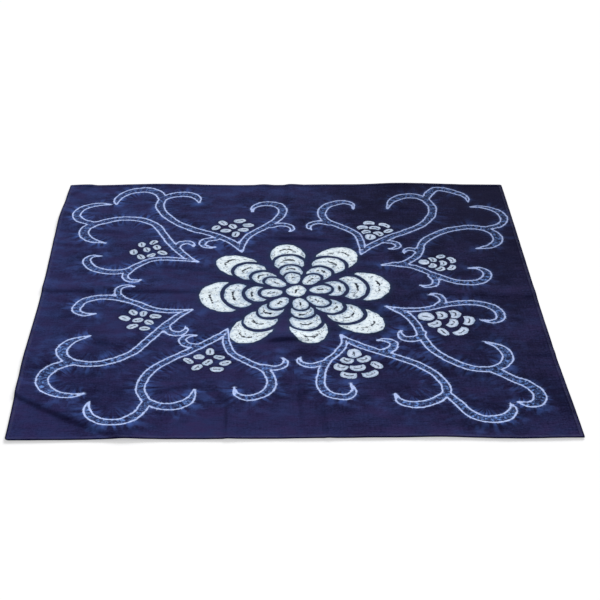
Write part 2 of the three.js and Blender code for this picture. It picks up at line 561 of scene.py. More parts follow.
def rounded_places(flat, half):
    """Points of the true square once its corners are rounded off."""
    radii = np.array([[CORNER_RADII[side, end] for end in ("near", "far")] for side in ("left", "right")])
    right, far = (flat > 0).astype(int).T
    radius = radii[right, far][:, None]
    into = np.clip(1 - (half - np.abs(flat)) / radius, 0, None)
    pulled = into * np.sqrt(1 - into[:, ::-1] ** 2 / 2)
    return flat - np.sign(flat) * radius * (into - pulled)


def waved_places(flat, half):
    """Where the points of the true square lie once its corners are rounded and its edges wave."""
    x, y = rounded_places(flat, half).T
    runs = {"left": y, "right": y, "near": x, "far": x}
    reach = {side: half + edge_wave(rows, runs[side]) for side, rows in EDGE_WAVES.items()}

    def stretched(value, before, beyond):
        return (value + half) / (2 * half) * (beyond + before) - before

    return np.column_stack(
        [stretched(x, reach["left"], reach["right"]), stretched(y, reach["near"], reach["far"])]
    )


def fold_profile(fold, places):
    """How far to a fold's side each place lies, as a share of its reach, and the fold's height there."""
    start = np.array(fold.start, float)
    run = np.array(fold.end, float) - start
    length = np.linalg.norm(run)
    away = places - start
    share = away @ run / length**2
    sideways = (run[0] * away[:, 1] - run[1] * away[:, 0]) / length - 4 * fold.bow * share * (1 - share)
    reach = np.where(sideways < 0, fold.steep or fold.half_width, fold.half_width)
    height = np.where((share > 0) & (share < 1), fold.height, 0.0)
    if not fold.open_start:
        height = height * smooth_step(share, 0, END_FADE)
    if not fold.open_end:
        height = height * smooth_step(1 - share, 0, END_FADE)
    return sideways / reach, height


def painted_crease_shade(places):
    """Painted shade along the creases: the slope of their short sides, which darkens the ground there."""
    depth = np.zeros(len(places))
    for fold in (*FOLDS.values(), *CREASES.values()):
        if fold.steep:
            side, height = fold_profile(fold, places)
            within = np.clip(-side, 0, 1)
            bump_slope = 4 * within * (1 - within**2)
            depth = depth + bump_slope * height / fold.steep
    return depth


def cloth_noise(places, across, along, layer):
    """Smooth noise at each place, with grains of these sizes in millimetres."""
    return np.array([noise.noise(Vector((x / across, y / along, layer))) for x, y in places])


def cloth_lift(places, ripple):
    """How far folds, creases and a fine ripple of this height lift the cloth at each place."""
    lift = np.full(len(places), RIPPLE_LEVEL)
    for row in RIPPLES:
        lift = lift + row.share * cloth_noise(places, row.across, row.along, row.layer)
    lift = ripple * np.clip(lift, 0, None)
    for fold in (*FOLDS.values(), *CREASES.values()):
        side, height = fold_profile(fold, places)
        lift = lift + height * soft_bump(side)
    return lift


def hem_rise(cloth, flat):
    """How far the stiff hem holds the border off the surface, unevenly along its run, in millimetres."""
    inset = cloth.side / MM / 2 - np.abs(flat).max(axis=1)
    uneven = RISE_LEVEL + RISE_SWING * cloth_noise(flat, RISE_GRAIN, RISE_GRAIN, RISE_LAYER)
    return cloth.hem_rise / MM * soft_bump(inset / RISE_REACH) * np.clip(uneven, RISE_LEAST, None)


def grid_lines(cloth):
    """Places of the sheet's grid lines from edge to edge, in millimetres, close together over the hem."""
    half = cloth.side / MM / 2
    border = [row.inset for row in HEM_SECTION] + [cloth.hem_width / MM]
    reach = half - border[-1] - FIELD_MARGIN
    field = np.linspace(-reach, reach, cloth.field_cells + 1)
    near = -half + np.array(border)
    return np.concatenate([near, field, -near[::-1]])


def hem_section(cloth, flat):
    """Top and underside of the cloth above its lie, in millimetres, with the hem's roll, seam and end."""
    inset = cloth.side / MM / 2 - np.abs(flat).max(axis=1)
    insets = [row.inset for row in HEM_SECTION] + [cloth.hem_width / MM]
    hem = cloth.hem_thickness / MM
    tops = [row.top * hem for row in HEM_SECTION] + [cloth.thickness / MM]
    unders = [row.under * hem for row in HEM_SECTION] + [0.0]
    along = np.where(np.abs(flat[:, 0]) > np.abs(flat[:, 1]), flat[:, 1], flat[:, 0])
    puckers = np.array([noise.noise(Vector((run / PUCKER_GRAIN, PUCKER_LAYER, 0.0))) for run in along])
    spread = soft_bump((inset - PUCKER_INSET) / PUCKER_REACH)
    pucker = cloth.pucker / MM * np.clip(puckers, 0, None) * spread
    return np.interp(inset, insets, tops) + pucker, np.interp(inset, insets, unders)


def sheet_faces(count):
    """Corner numbers of the closed sheet's quads: its top, underside and rim, on a grid of count lines."""
    top = np.arange(count * count).reshape(count, count)
    under = top + count * count

    def cells(grid):
        return np.stack([grid[:-1, :-1], grid[:-1, 1:], grid[1:, 1:], grid[1:, :-1]], axis=-1).reshape(-1, 4)

    def wall(upper, lower):
        return np.column_stack([lower[:-1], lower[1:], upper[1:], upper[:-1]])

    rims = [
        wall(top[0], under[0]),
        wall(top[:, -1], under[:, -1]),
        wall(top[-1, ::-1], under[-1, ::-1]),
        wall(top[::-1, 0], under[::-1, 0]),
    ]
    return cells(top), cells(under)[:, ::-1], np.concatenate(rims)


# The resist pattern


class Patch(NamedTuple):
    """An undyed patch: an egg about a place, turned by an angle, less a round bite out of its inner end.

    slit is the half-length of the dark slit along its middle, and seed is 1 for a seed and 0 for a petal.
    """

    x: float
    y: float
    turn: float
    half_length: float
    tail: float
    half_width: float
    bite_along: float
    bite_radius: float
    slit: float
    seed: float


def round_hollow(half_chord, depth, top):
    """Where the middle of a hollow lies along its patch, and its radius, from its width, depth and top."""
    radius = (half_chord**2 + depth**2) / (2 * depth)
    return top - radius, radius


def flower_patches(pattern):
    """The flower's centre and the lobes of its petals."""
    x, y = pattern.flower_x / MM, pattern.flower_y / MM
    disc = pattern.disc_radius / MM
    root = pattern.root_width / MM
    disc_sizes = [disc * share for share in (DISC_LENGTH, DISC_LENGTH, DISC_WIDTH)]
    patches = [Patch(x, y, DISC_TURN, *disc_sizes, 0.0, NO_BITE, PETAL_SLIT * disc, 0.0)]
    for petal in PETALS:
        for lobe in LOBES:
            bearing = math.radians(petal.bearing + petal.sweep * lobe.widest)
            distance = lobe.widest * petal.reach
            half_width = root + (petal.half_width - root) * lobe.flare
            tail = (lobe.widest - lobe.horn) * petal.reach / math.sqrt(1 - lobe.chord**2)
            bite = 0.0, NO_BITE
            slit = PETAL_SLIT * half_width
            if lobe.bite:
                depth = (lobe.bite - lobe.horn) * petal.reach
                bite = round_hollow(lobe.chord * half_width, depth, (lobe.bite - lobe.widest) * petal.reach)
            patches.append(
                Patch(
                    x + distance * math.cos(bearing), y + distance * math.sin(bearing), bearing,
                    (lobe.tip - lobe.widest) * petal.reach, tail, half_width, *bite, slit, 0.0,
                )
            )
    return patches


def scroll_frame(scroll):
    """A scroll's tip, its two directions across and along on the cloth, and its scale."""
    tip = np.array(scroll.tip, float)
    run = np.array(scroll.fork, float) - tip
    length = np.linalg.norm(run)
    along = run / length
    across = np.array([along[1], -along[0]]) * scroll.hand
    return tip, across, along, length / FORK_ALONG


def seed_patches(scroll):
    """The seeds that fan out between a scroll's arms."""
    tip, across, along, scale = scroll_frame(scroll)
    fan = scroll.seeds
    root = tip + (fan.across * across + fan.along * along) * scale
    size = fan.size * scale
    patches = []
    for number, seed in enumerate(SEED_CHARTS[fan.chart]):
        bearing = math.radians(fan.bearing + seed.bearing)
        out = math.cos(bearing) * across + math.sin(bearing) * along
        lean = seed.lean + (fan.tumble if number % 2 else -fan.tumble)
        turn = math.atan2(out[1], out[0]) + math.radians(lean) * scroll.hand
        slit = SEED_SLIT * (seed.half_length + seed.tail) / 2
        bite = 0.0, NO_BITE
        if seed.hollow:
            top = seed.hollow - seed.tail * math.sqrt(1 - HOLLOW_CHORD**2)
            bite = round_hollow(HOLLOW_CHORD * seed.half_width * size, seed.hollow * size, top * size)
            slit = SEED_SLIT * seed.half_width
        x, y = root + seed.distance * fan.reach * scale * out
        sizes = [part * size for part in (seed.half_length, seed.tail, seed.half_width)]
        patches.append(Patch(x, y, turn, *sizes, *bite, slit * size, 1.0))
    return patches


def patch_gaps(x, y, patch):
    """Gaps to a patch's edge and its bite, below 0 inside it, to its middle line and past its slit's ends.

    The last column is 1 for a seed and 0 for a petal. patch holds numbers, or arrays that go with x and y.
    """
    ahead_x, ahead_y = np.cos(patch.turn), np.sin(patch.turn)
    along = (x - patch.x) * ahead_x + (y - patch.y) * ahead_y
    across = (y - patch.y) * ahead_x - (x - patch.x) * ahead_y
    reach = np.where(along > 0, patch.half_length, patch.tail)
    ratio = np.hypot(along / reach, across / patch.half_width)
    slope = np.hypot(along / reach**2, across / patch.half_width**2)
    edge = ratio * (ratio - 1) / np.maximum(slope, 1e-6)
    whole = patch.bite_radius == NO_BITE
    bite = np.where(whole, NO_BITE, patch.bite_radius - np.hypot(along - patch.bite_along, across))
    middle = np.where(whole, across, (edge - bite) / 2)
    run = np.where(whole, along - (patch.half_length - patch.tail) / 2, across)
    return edge, bite, middle, np.abs(run) - patch.slit, patch.seed + 0 * run


def nearest_patch_gaps(corners, patches):
    """The gaps of patch_gaps at each face's corners, to the patch that lies nearest to the face's middle."""
    middle_x, middle_y = corners.mean(axis=1).T
    nearest = np.zeros(len(corners), int)
    least = np.full(len(corners), np.inf)
    for number, patch in enumerate(patches):
        edge, bite = patch_gaps(middle_x, middle_y, patch)[:2]
        gap = np.maximum(edge, bite)
        nearest[gap < least] = number
        least = np.minimum(least, gap)
    columns = np.array(patches)[nearest].T[:, :, None]
    return np.stack(patch_gaps(corners[..., 0], corners[..., 1], Patch(*columns)), axis=-1)


def smooth_stroke(rows):
    """Points on a smooth curve through a stroke's rows, with their half-widths."""
    rows = np.array(rows, float)
    padded = np.vstack([2 * rows[0] - rows[1], rows, 2 * rows[-1] - rows[-2]])
    share = np.linspace(0, 1, STROKE_STEPS, endpoint=False)[:, None]
    spans = []
    for before, start, end, after in zip(padded, padded[1:], padded[2:], padded[3:]):
        bend = 2 * before - 5 * start + 4 * end - after
        twist = 3 * (start - end) + after - before
        spans.append(start + 0.5 * ((end - before) * share + bend * share**2 + twist * share**3))
    curve = np.vstack([*spans, rows[-1:]])
    curve[:, 2] = np.maximum(curve[:, 2], rows[:, 2].min())
    return curve


def scaled(rows, base, across, along, weight=1.0):
    """Rows of a stroke scaled about a base point, with a heavier or lighter width."""
    x, y = base[:2]
    points = ((x + (row.across - x) * across, y + (row.along - y) * along) for row in rows)
    return stroke(*((*point, row.half_width * weight) for point, row in zip(points, rows)))


def shifted(rows, place, size=1.0):
    """Rows of a side curl put where it leaves its arm."""
    x, y = place[:2]
    return stroke(*((x + row.across * size, y + row.along * size, row.half_width * size) for row in rows))


def scroll_strokes(scroll):
    """A scroll's strokes on the cloth: for each, its points and their half-widths."""
    tip, across, along, scale = scroll_frame(scroll)
    long_arm, short_arm = [], []
    for row in LONG_ARM:
        bent = row.across * (scroll.bow if row.across < 0 else 1.0)
        lean = scroll.lean * soft_bump(row.along / LEAN_ALONG - 1)
        long_arm.append(row._replace(across=bent + lean))
    for row in SHORT_ARM:
        sag = scroll.arm[2] * soft_bump(row.across / SAG_ACROSS - 1)
        short_arm.append(row._replace(along=row.along - sag))
    strokes = (
        long_arm,
        scaled(short_arm, (0, 0), *scroll.arm[:2]),
        scaled(INNER_HORN, FORK, *scroll.inner),
        scaled(OUTER_HORNS[scroll.horn], FORK, *scroll.outer),
        shifted(THORN, scroll.thorn, scroll.thorn[2]),
        shifted(SIDE_HOOK, scroll.hook),
    )
    for rows in strokes:
        curve = smooth_stroke(rows)
        points = tip + (curve[:, :1] * across + curve[:, 1:2] * along) * scale
        yield points, curve[:, 2] * scale


def stroke_gaps(places, points, halves):
    """The gap to a stroke's edge at each place, below 0 inside, and the run along the stroke to there."""
    steps = np.diff(points, axis=0)
    lengths = np.linalg.norm(steps, axis=1)
    reach = places[:, None] - points[None, :-1]
    share = np.clip((reach * steps).sum(axis=2) / lengths**2, 0, 1)
    off = np.linalg.norm(reach - share[..., None] * steps, axis=2)
    gaps = off - (halves[:-1] + share * np.diff(halves))
    nearest = gaps.argmin(axis=1)
    row = np.arange(len(places))
    runs = (np.cumsum(lengths) - lengths)[nearest] + share[row, nearest] * lengths[nearest]
    return gaps[row, nearest], runs


def scroll_gaps(flat):
    """For every stroke of every scroll, its gap and run at each point of the flat cloth."""
    gaps, runs = [], []
    for scroll in SCROLLS.values():
        for points, halves in scroll_strokes(scroll):
            gap = np.full(len(flat), FAR_GAP)
            run = np.zeros(len(flat))
            low, high = points.min(axis=0) - FAR_GAP, points.max(axis=0) + FAR_GAP
            near = ((flat > low) & (flat < high)).all(axis=1)
            gap[near], run[near] = stroke_gaps(flat[near], points, halves)
            gaps.append(gap)
            runs.append(run)
    return np.array(gaps), np.array(runs)


def write_attribute(mesh, name, kind, domain, values):
    """Adds a mesh attribute of numbers or vectors and fills it."""
    attribute = mesh.attributes.new(name, kind, domain)
    key = "vector" if kind == "FLOAT_VECTOR" else "value"
    attribute.data.foreach_set(key, np.ravel(values).astype(np.float32))


def chart_pattern(mesh, flat, faces, pattern):
    """Writes the pattern to the sheet: flat places, the scrolls' gaps and runs, and the patches' gaps."""
    grid_corners = faces % len(flat)
    places = np.column_stack([np.tile(flat, (2, 1)), np.zeros(2 * len(flat))])
    write_attribute(mesh, "cloth_place", "FLOAT_VECTOR", "POINT", places)
    gaps, runs = scroll_gaps(flat)
    write_attribute(mesh, "scroll_gap", "FLOAT", "POINT", np.tile(gaps.min(axis=0), 2))
    nearest = gaps[:, grid_corners].mean(axis=2).argmin(axis=0)[:, None]
    runs = runs[nearest, grid_corners] + STROKE_SHIFT * nearest
    write_attribute(mesh, "scroll_run", "FLOAT", "CORNER", runs)
    patches = flower_patches(pattern)
    for scroll in SCROLLS.values():
        patches.extend(seed_patches(scroll))
    near = nearest_patch_gaps(flat[grid_corners], patches)
    write_attribute(mesh, "patch_gaps", "FLOAT_VECTOR", "CORNER", near[..., :3])
    marks = np.concatenate([near[..., 3:], np.zeros_like(near[..., :1])], axis=-1)
    write_attribute(mesh, "patch_marks", "FLOAT_VECTOR", "CORNER", marks)


def write_bake_map(mesh, flat, faces, top_count, side):
    """A map for baking, with most of its room for the top, less for the underside and strips for the rim."""
    share = flat[faces % len(flat)] / side + 0.5
    top, under, rim = np.split(share, [top_count, 2 * top_count])
    places = [BAKE_MARGIN + BAKE_TOP * top, (BAKE_UNDER_LEFT, BAKE_MARGIN) + BAKE_UNDER * under]
    rise = np.array([0.0, 0.0, BAKE_RIM_WIDTH, BAKE_RIM_WIDTH])
    for edge, strip in enumerate(np.split(rim, 4)):
        run = BAKE_MARGIN + BAKE_TOP * strip[..., edge % 2]
        level = np.broadcast_to(BAKE_RIM + BAKE_RIM_PITCH * edge + rise, run.shape)
        places.append(np.stack([run, level], axis=-1))
    layer = mesh.uv_layers.new(name="OFBake")
    layer.uv.foreach_set("vector", np.concatenate(places).astype(np.float32).ravel())


# Materials: in the groups, lengths are in millimetres and noise and masks run from 0 to 1


class Wiring:
    """Short calls that add shader nodes to one tree and join their sockets."""

    def __init__(self, tree):
        self.tree = tree

    def put(self, socket, value):
        """Links a socket to another one or sets its value; three parts of a colour become an opaque one."""
        if isinstance(value, bpy.types.NodeSocket):
            self.tree.links.new(value, socket)
        elif socket.type == "RGBA":
            socket.default_value = (*value, 1.0)
        else:
            socket.default_value = value

    def add(self, kind, inputs=None, **settings):
        """A new node with these settings and inputs."""
        node = self.tree.nodes.new(kind)
        for key, value in settings.items():
            setattr(node, key, value)
        for key, value in (inputs or {}).items():
            self.put(node.inputs[key], value)
        return node

    def math(self, operation, *values):
        """The outcome of one sum, product or other operation."""
        return self.add("ShaderNodeMath", dict(enumerate(values)), operation=operation).outputs[0]

    def chain(self, operation, first, *others):
        """The outcome of one operation over two or more values in turn."""
        for other in others:
            first = self.math(operation, first, other)
        return first

    def total(self, *values):
        return self.chain("ADD", *values)

    def product(self, *values):
        return self.chain("MULTIPLY", *values)

    def most(self, *values):
        return self.chain("MAXIMUM", *values)

    def swing(self, value, reach):
        """A value of 0 to 1 spread out from minus reach to reach."""
        return self.math("MULTIPLY_ADD", value, 2 * reach, -reach)

    def fade(self, distance, reach):
        """1 at no distance, dying away over the reach."""
        return self.math("EXPONENT", self.product(self.math("DIVIDE", distance, reach), -1.0))

    def ease(self, value, low, high, to_low=0.0, to_high=1.0):
        """A smooth change from to_low at low to to_high at high."""
        inputs = {"Value": value, "From Min": low, "From Max": high, "To Min": to_low, "To Max": to_high}
        return self.add("ShaderNodeMapRange", inputs, interpolation_type="SMOOTHSTEP").outputs["Result"]

    def parts(self, vector):
        """A vector's X, Y and Z."""
        return self.add("ShaderNodeSeparateXYZ", {"Vector": vector}).outputs

    def slope(self, parts, across, along):
        """A value that changes evenly over the cloth, by these steps a millimetre."""
        return self.total(self.product(parts["X"], across), self.product(parts["Y"], along))

    def stretch(self, place, across, along, shift=0.0):
        """The place divided by a grain's size across and along the cloth."""
        inputs = {"Vector": place, "Location": (shift, shift, shift), "Scale": (1 / across, 1 / along, 1.0)}
        return self.add("ShaderNodeMapping", inputs).outputs["Vector"]

    def noise(self, place, detail=2.0, roughness=0.5):
        """Noise of 0 to 1 with grains of about 1."""
        inputs = {"Vector": place, "Scale": 1.0, "Detail": detail, "Roughness": roughness}
        return self.add("ShaderNodeTexNoise", inputs).outputs["Fac"]

    def grain(self, place, across, along=None, shift=0.0, detail=2.0, roughness=0.5):
        """Noise of 0 to 1 with grains of this size, alike both ways where along isn't given."""
        return self.noise(self.stretch(place, across, along or across, shift), detail, roughness)

    def blend(self, factor, low, high):
        """A colour between two others; its sockets share their names, so they are found by number."""
        node = self.add("ShaderNodeMix", {0: factor, 6: low, 7: high}, data_type="RGBA")
        return node.outputs[2]

    def layers(self, colour, *rows):
        """A colour under others, each row a mask and the colour that it lays on."""
        for mask, over in rows:
            colour = self.blend(mask, colour, over)
        return colour


def make_group(name, inputs, outputs):
    """An empty shader node group with named sockets: its tree's wiring, its inputs and its output node."""
    tree = bpy.data.node_groups.new(name, "ShaderNodeTree")
    for socket, kind in inputs.items():
        tree.interface.new_socket(socket, in_out="INPUT", socket_type=kind)
    for socket, kind in outputs.items():
        tree.interface.new_socket(socket, in_out="OUTPUT", socket_type=kind)
    wiring = Wiring(tree)
    return wiring, wiring.add("NodeGroupInput").outputs, wiring.add("NodeGroupOutput").inputs


FLOAT = "NodeSocketFloat"
VECTOR = "NodeSocketVector"
COLOUR = "NodeSocketColor"
THREAD_PITCHES = {"X": 0.9, "Y": 1.0}  # distance from one thread of the weave to the next


def plain_weave_group():
    """Threads of a hand-woven cotton: their relief and the lighter and darker yarns that show as streaks."""
    w, inputs, outputs = make_group("Plain Weave", {"Place": VECTOR}, {"Height": FLOAT, "Streak": FLOAT})
    place = inputs["Place"]
    weft = w.grain(place, 46, 1.6, detail=3.0, roughness=0.6)
    warp = w.grain(place, 1.4, 60, shift=7.0, roughness=0.6)
    streak = w.total(w.product(weft, 0.72), w.product(warp, 0.28))
    w.put(outputs["Streak"], w.ease(streak, 0.30, 0.70))
    parts = w.parts(place)
    waves = [
        w.math("SINE", w.product(parts[axis], 2 * math.pi / pitch)) for axis, pitch in THREAD_PITCHES.items()
    ]
    thread = w.math("MULTIPLY_ADD", w.product(*waves), 0.35, 0.5)
    w.put(outputs["Height"], w.total(thread, w.product(streak, 0.9)))
    return w.tree


def dyed_ground_group():
    """Indigo ground: clouds of deeper dye, pools round the gathered scrolls, and a drift across the cloth."""
    w, inputs, outputs = make_group(
        "Dyed Ground",
        {
            "Place": VECTOR, "Scroll Gap": FLOAT, "Streak": FLOAT,
            "Ground": COLOUR, "Violet": COLOUR, "Deep": COLOUR, "Pale": COLOUR,
        },
        {"Color": COLOUR},
    )
    place, gap = inputs["Place"], inputs["Scroll Gap"]
    parts = w.parts(place)
    right, far = (w.most(parts[axis], 0.0) for axis in "XY")
    left, near = (w.math("MINIMUM", parts[axis], 0.0) for axis in "XY")
    corners = w.total(w.product(right, far, 2.7e-6), w.product(left, near, 0.8e-6))
    drift = w.most(w.slope(parts, 0.0007, 0.0001), -0.20)
    cloud = w.grain(place, 150, 120, detail=3.0, roughness=0.55)
    blot = w.grain(place, 40, 26, shift=3.0, detail=3.0, roughness=0.6)
    pool = w.product(w.ease(gap, 75, 16), w.ease(blot, 0.28, 0.74), 0.50)
    grain = w.grain(place, 5.0, 4.5, shift=9.0, detail=3.0, roughness=0.75)
    depth = w.total(
        w.ease(cloud, 0.30, 0.70, 0.0, 0.48), pool, drift, corners,
        w.ease(inputs["Streak"], 0.0, 1.0, 0.24, -0.24), w.ease(grain, 0.25, 0.75, 0.34, -0.34),
    )
    cool = w.slope(parts, -0.0005, 0.0005)
    mottle = w.grain(place, 52, 34, shift=19.0, detail=4.0, roughness=0.65)
    turned = w.product(w.ease(mottle, 0.36, 0.64), w.ease(gap, 0.0, 30.0, 0.45, 1.0))
    turned = w.product(turned, w.ease(cool, -0.25, 0.30, 1.0, 0.6))
    haze = w.product(w.ease(cool, -0.05, 0.30, 0.0, 0.11), w.ease(mottle, 0.58, 0.38))
    ground = w.blend(turned, inputs["Ground"], inputs["Violet"])
    ground = w.blend(haze, ground, inputs["Pale"])
    w.put(outputs["Color"], w.blend(depth, ground, inputs["Deep"]))
    return w.tree


def stitched_scroll_group():
    """A gathered, stitched outline: beaded lines, a speckled band between them and half-dyed streaks."""
    w, inputs, outputs = make_group(
        "Stitched Scroll",
        {"Place": VECTOR, "Gap": FLOAT, "Run": FLOAT, "Line Width": FLOAT},
        {"Line": FLOAT, "Band": FLOAT, "Halo": FLOAT, "Shade": FLOAT},
    )
    place = inputs["Place"]
    parts = w.parts(place)
    drift = w.slope(parts, 0.0008, 0.0006)
    gap = w.total(inputs["Gap"], w.swing(w.grain(place, 30, shift=17.0, roughness=0.6), 3.0))

    def along_stroke(run_grain, gap_grain):
        """Noise that runs with the stroke, with grains of these sizes in millimetres."""
        grains = {"X": w.product(inputs["Run"], 1 / run_grain), "Y": w.product(gap, 1 / gap_grain)}
        return w.noise(w.add("ShaderNodeCombineXYZ", grains).outputs[0], detail=1.0, roughness=0.6)

    off_line = w.math("ABSOLUTE", w.total(gap, w.swing(w.grain(place, 8), 1.3)))
    bead = along_stroke(6.5, 30)
    half_line = w.product(inputs["Line Width"], w.ease(bead, 0.28, 0.72, 0.36, 0.57))
    thread = w.ease(w.math("SUBTRACT", off_line, half_line), 0.9, -0.8)
    thread = w.product(thread, w.ease(bead, 0.26, 0.56, 0.78, 1.0))
    ticks = w.product(w.ease(along_stroke(3.2, 40), 0.54, 0.66), w.ease(off_line, 6.5, 1.5), 0.42)
    w.put(outputs["Line"], w.product(w.most(thread, ticks), w.ease(drift, 0.0, 0.6, 1.0, 0.70)))

    inside = w.ease(gap, -0.5, -2.5)
    mottle = w.grain(place, 7, shift=5.0, detail=3.0, roughness=0.75)
    rungs = along_stroke(8.0, 60)
    speckle = w.product(w.ease(mottle, 0.44, 0.62, 0.05, 1.0), w.ease(rungs, 0.40, 0.58, 0.20, 1.0))
    w.put(outputs["Band"], w.product(inside, speckle, w.ease(parts["Y"], -200, 350, 1.0, 0.7)))

    outside = w.most(gap, 0.0)
    beside = w.ease(gap, -2.0, 1.0)
    stray = w.grain(place, 22, shift=27.0)
    streak = w.ease(w.total(w.product(along_stroke(8.5, 45), 0.72), w.product(stray, 0.28)), 0.40, 0.62)
    patchy = w.ease(w.grain(place, 60, shift=11.0, detail=1.0), 0.36, 0.62, 0.18, 1.0)
    patchy = w.product(patchy, w.ease(drift, -0.05, 0.42, 1.0, 0.35))
    reach = w.ease(w.grain(place, 30, shift=2.0), 0.3, 0.7, 5.0, 21.0)
    far_glow = w.product(w.fade(outside, reach), streak, patchy, 0.95)
    near_glow = w.product(w.fade(outside, 4.0), w.ease(streak, 0.0, 1.0, 0.10, 0.55))
    w.put(outputs["Halo"], w.product(w.most(far_glow, near_glow), beside))
    w.put(outputs["Shade"], w.product(w.fade(outside, 15.0), w.ease(streak, 0.0, 0.7, 0.55, 0.0), beside))
    return w.tree


def resist_patch_group():
    """Undyed petals and seeds: a ragged edge, dye that crept in, and cracks and pricks along the stitches."""
    w, inputs, outputs = make_group(
        "Resist Patch",
        {"Place": VECTOR, "Gaps": VECTOR, "Marks": VECTOR, "Heart": VECTOR},
        {"Mask": FLOAT, "Seed": FLOAT, "Tint": FLOAT, "Crack": FLOAT, "Seep": FLOAT, "Shade": FLOAT},
    )
    place = inputs["Place"]
    gaps, marks = w.parts(inputs["Gaps"]), w.parts(inputs["Marks"])
    edge, bite, middle = gaps["X"], gaps["Y"], gaps["Z"]
    past, seed = w.most(marks["X"], 0.0), marks["Y"]
    petal = w.math("SUBTRACT", 1.0, seed)
    uneven = w.swing(w.grain(place, 17, shift=13.0, detail=1.0), 3.0)
    ragged = w.swing(w.grain(place, 5), 1.3)
    gap = w.total(w.most(w.total(edge, uneven), bite), ragged, w.product(petal, 0.6))
    outside = w.most(gap, 0.0)
    w.put(outputs["Mask"], w.ease(gap, 0.7, -0.7))
    w.put(outputs["Seed"], w.product(seed, 0.75))
    w.put(outputs["Seep"], w.product(w.fade(outside, 4.5), petal, 0.7))
    w.put(outputs["Shade"], w.product(w.fade(outside, 5.0), seed, 0.55))

    mottle = w.grain(place, 10, shift=4.0, detail=4.0, roughness=0.68)
    from_rim = w.product(w.ease(gap, -7.0, -0.5), w.ease(mottle, 0.3, 0.6, 0.25, 0.75))
    span = w.add("ShaderNodeVectorMath", {0: place, 1: inputs["Heart"]}, operation="DISTANCE")
    from_heart = span.outputs["Value"]
    creep = w.total(w.ease(mottle, 0.40, 0.72, 0.0, 0.78), from_rim)
    creep = w.product(creep, w.ease(w.product(from_heart, petal), 110, 210, 1.0, 0.6))
    off_slit = w.math("SQRT", w.total(w.product(past, past), w.product(middle, middle)))
    hollow = w.product(w.ease(off_slit, 7.0, 2.0), seed, w.ease(mottle, 0.3, 0.6, 0.2, 0.65))
    inner_lobes = w.product(w.ease(from_heart, 26, 44), w.ease(from_heart, 200, 90), petal, 0.22)
    w.put(outputs["Tint"], w.total(w.most(creep, hollow), inner_lobes))

    broken = w.grain(place, 14, shift=1.0, roughness=0.6)
    sway = w.swing(w.grain(place, 9, shift=8.0, detail=3.0, roughness=0.65), 6.0)
    off_crack = w.math("ABSOLUTE", w.total(middle, sway))
    hairline = w.product(w.ease(off_crack, 1.4, 0.4), w.ease(broken, 0.48, 0.57), 0.75)
    off_branch = w.math("ABSOLUTE", w.math("SUBTRACT", w.grain(place, 24, shift=31.0, detail=1.0), 0.5))
    branch = w.product(w.ease(off_branch, 0.024, 0.008), w.ease(mottle, 0.46, 0.58), 0.75)
    astray = w.total(past, w.swing(broken, 7.0))
    gash = w.product(w.ease(off_crack, 3.6, 1.7), w.ease(astray, 3.0, 0.5), w.ease(broken, 0.36, 0.44))
    wavering = w.swing(w.grain(place, 6, shift=12.0), 3.0)
    slit = w.product(w.ease(w.total(off_slit, wavering), 2.6, 0.9), w.ease(broken, 0.34, 0.54, 0.3, 0.9))
    crack = w.total(w.product(w.most(hairline, branch, gash), petal), w.product(slit, seed))
    cell = w.add("ShaderNodeTexVoronoi", {"Vector": w.stretch(place, 9.0, 9.0, shift=6.0), "Scale": 1.0})
    prick = w.product(w.ease(cell.outputs["Distance"], 0.24, 0.12), w.ease(mottle, 0.45, 0.52), 0.85)
    crack = w.product(crack, w.ease(gap, -1.5, -4.0))
    w.put(outputs["Crack"], w.most(crack, w.product(prick, w.ease(gap, -0.5, -2.0))))
    return w.tree


def hem_shade_and_ridge_group():
    """The hem's edge: painted shade on the rounded fold along the edge, and a paler, patchy band on the ridge
    beside it.
    """
    w, inputs, outputs = make_group(
        "Hem Rim Shade and Ridge", {"Place": VECTOR, "Half Side": FLOAT, "Width": FLOAT}, {"Rim Shade": FLOAT, "Pale Ridge": FLOAT}
    )
    place = inputs["Place"]
    parts = w.parts(place)
    reach = w.most(*(w.math("ABSOLUTE", parts[axis]) for axis in "XY"))
    inset = w.math("SUBTRACT", inputs["Half Side"], reach)
    ridge_patches = w.ease(w.grain(place, 24, shift=23.0, detail=3.0, roughness=0.7), 0.34, 0.66, 0.15, 0.85)
    ridge = w.product(w.ease(inset, 2.4, 4.2), w.ease(inset, inputs["Width"], 6.6))
    # Painted shade: the rounded fold at the edge darkens over its last few millimetres.
    w.put(outputs["Rim Shade"], w.ease(inset, 3.6, 1.6, 0.0, 0.9))
    # A paler, patchy band along the hem's ridge.
    w.put(outputs["Pale Ridge"], w.product(ridge, ridge_patches, 0.22))
    return w.tree


def place_group(wiring, tree, **inputs):
    """Adds a group with these inputs, their names' spaces written as underscores, and gives its outputs."""
    named = {name.replace("_", " "): value for name, value in inputs.items()}
    return wiring.add("ShaderNodeGroup", named, node_tree=tree).outputs


def new_material(name):
    """A material with one shader: the material, its tree's wiring and the shader's inputs."""
    material = bpy.data.materials.new(name)
    material.use_nodes = True
    material.node_tree.nodes.clear()
    wiring = Wiring(material.node_tree)
    shader = wiring.add("ShaderNodeBsdfPrincipled")
    wiring.add("ShaderNodeOutputMaterial", {"Surface": shader.outputs["BSDF"]})
    return material, wiring, shader.inputs


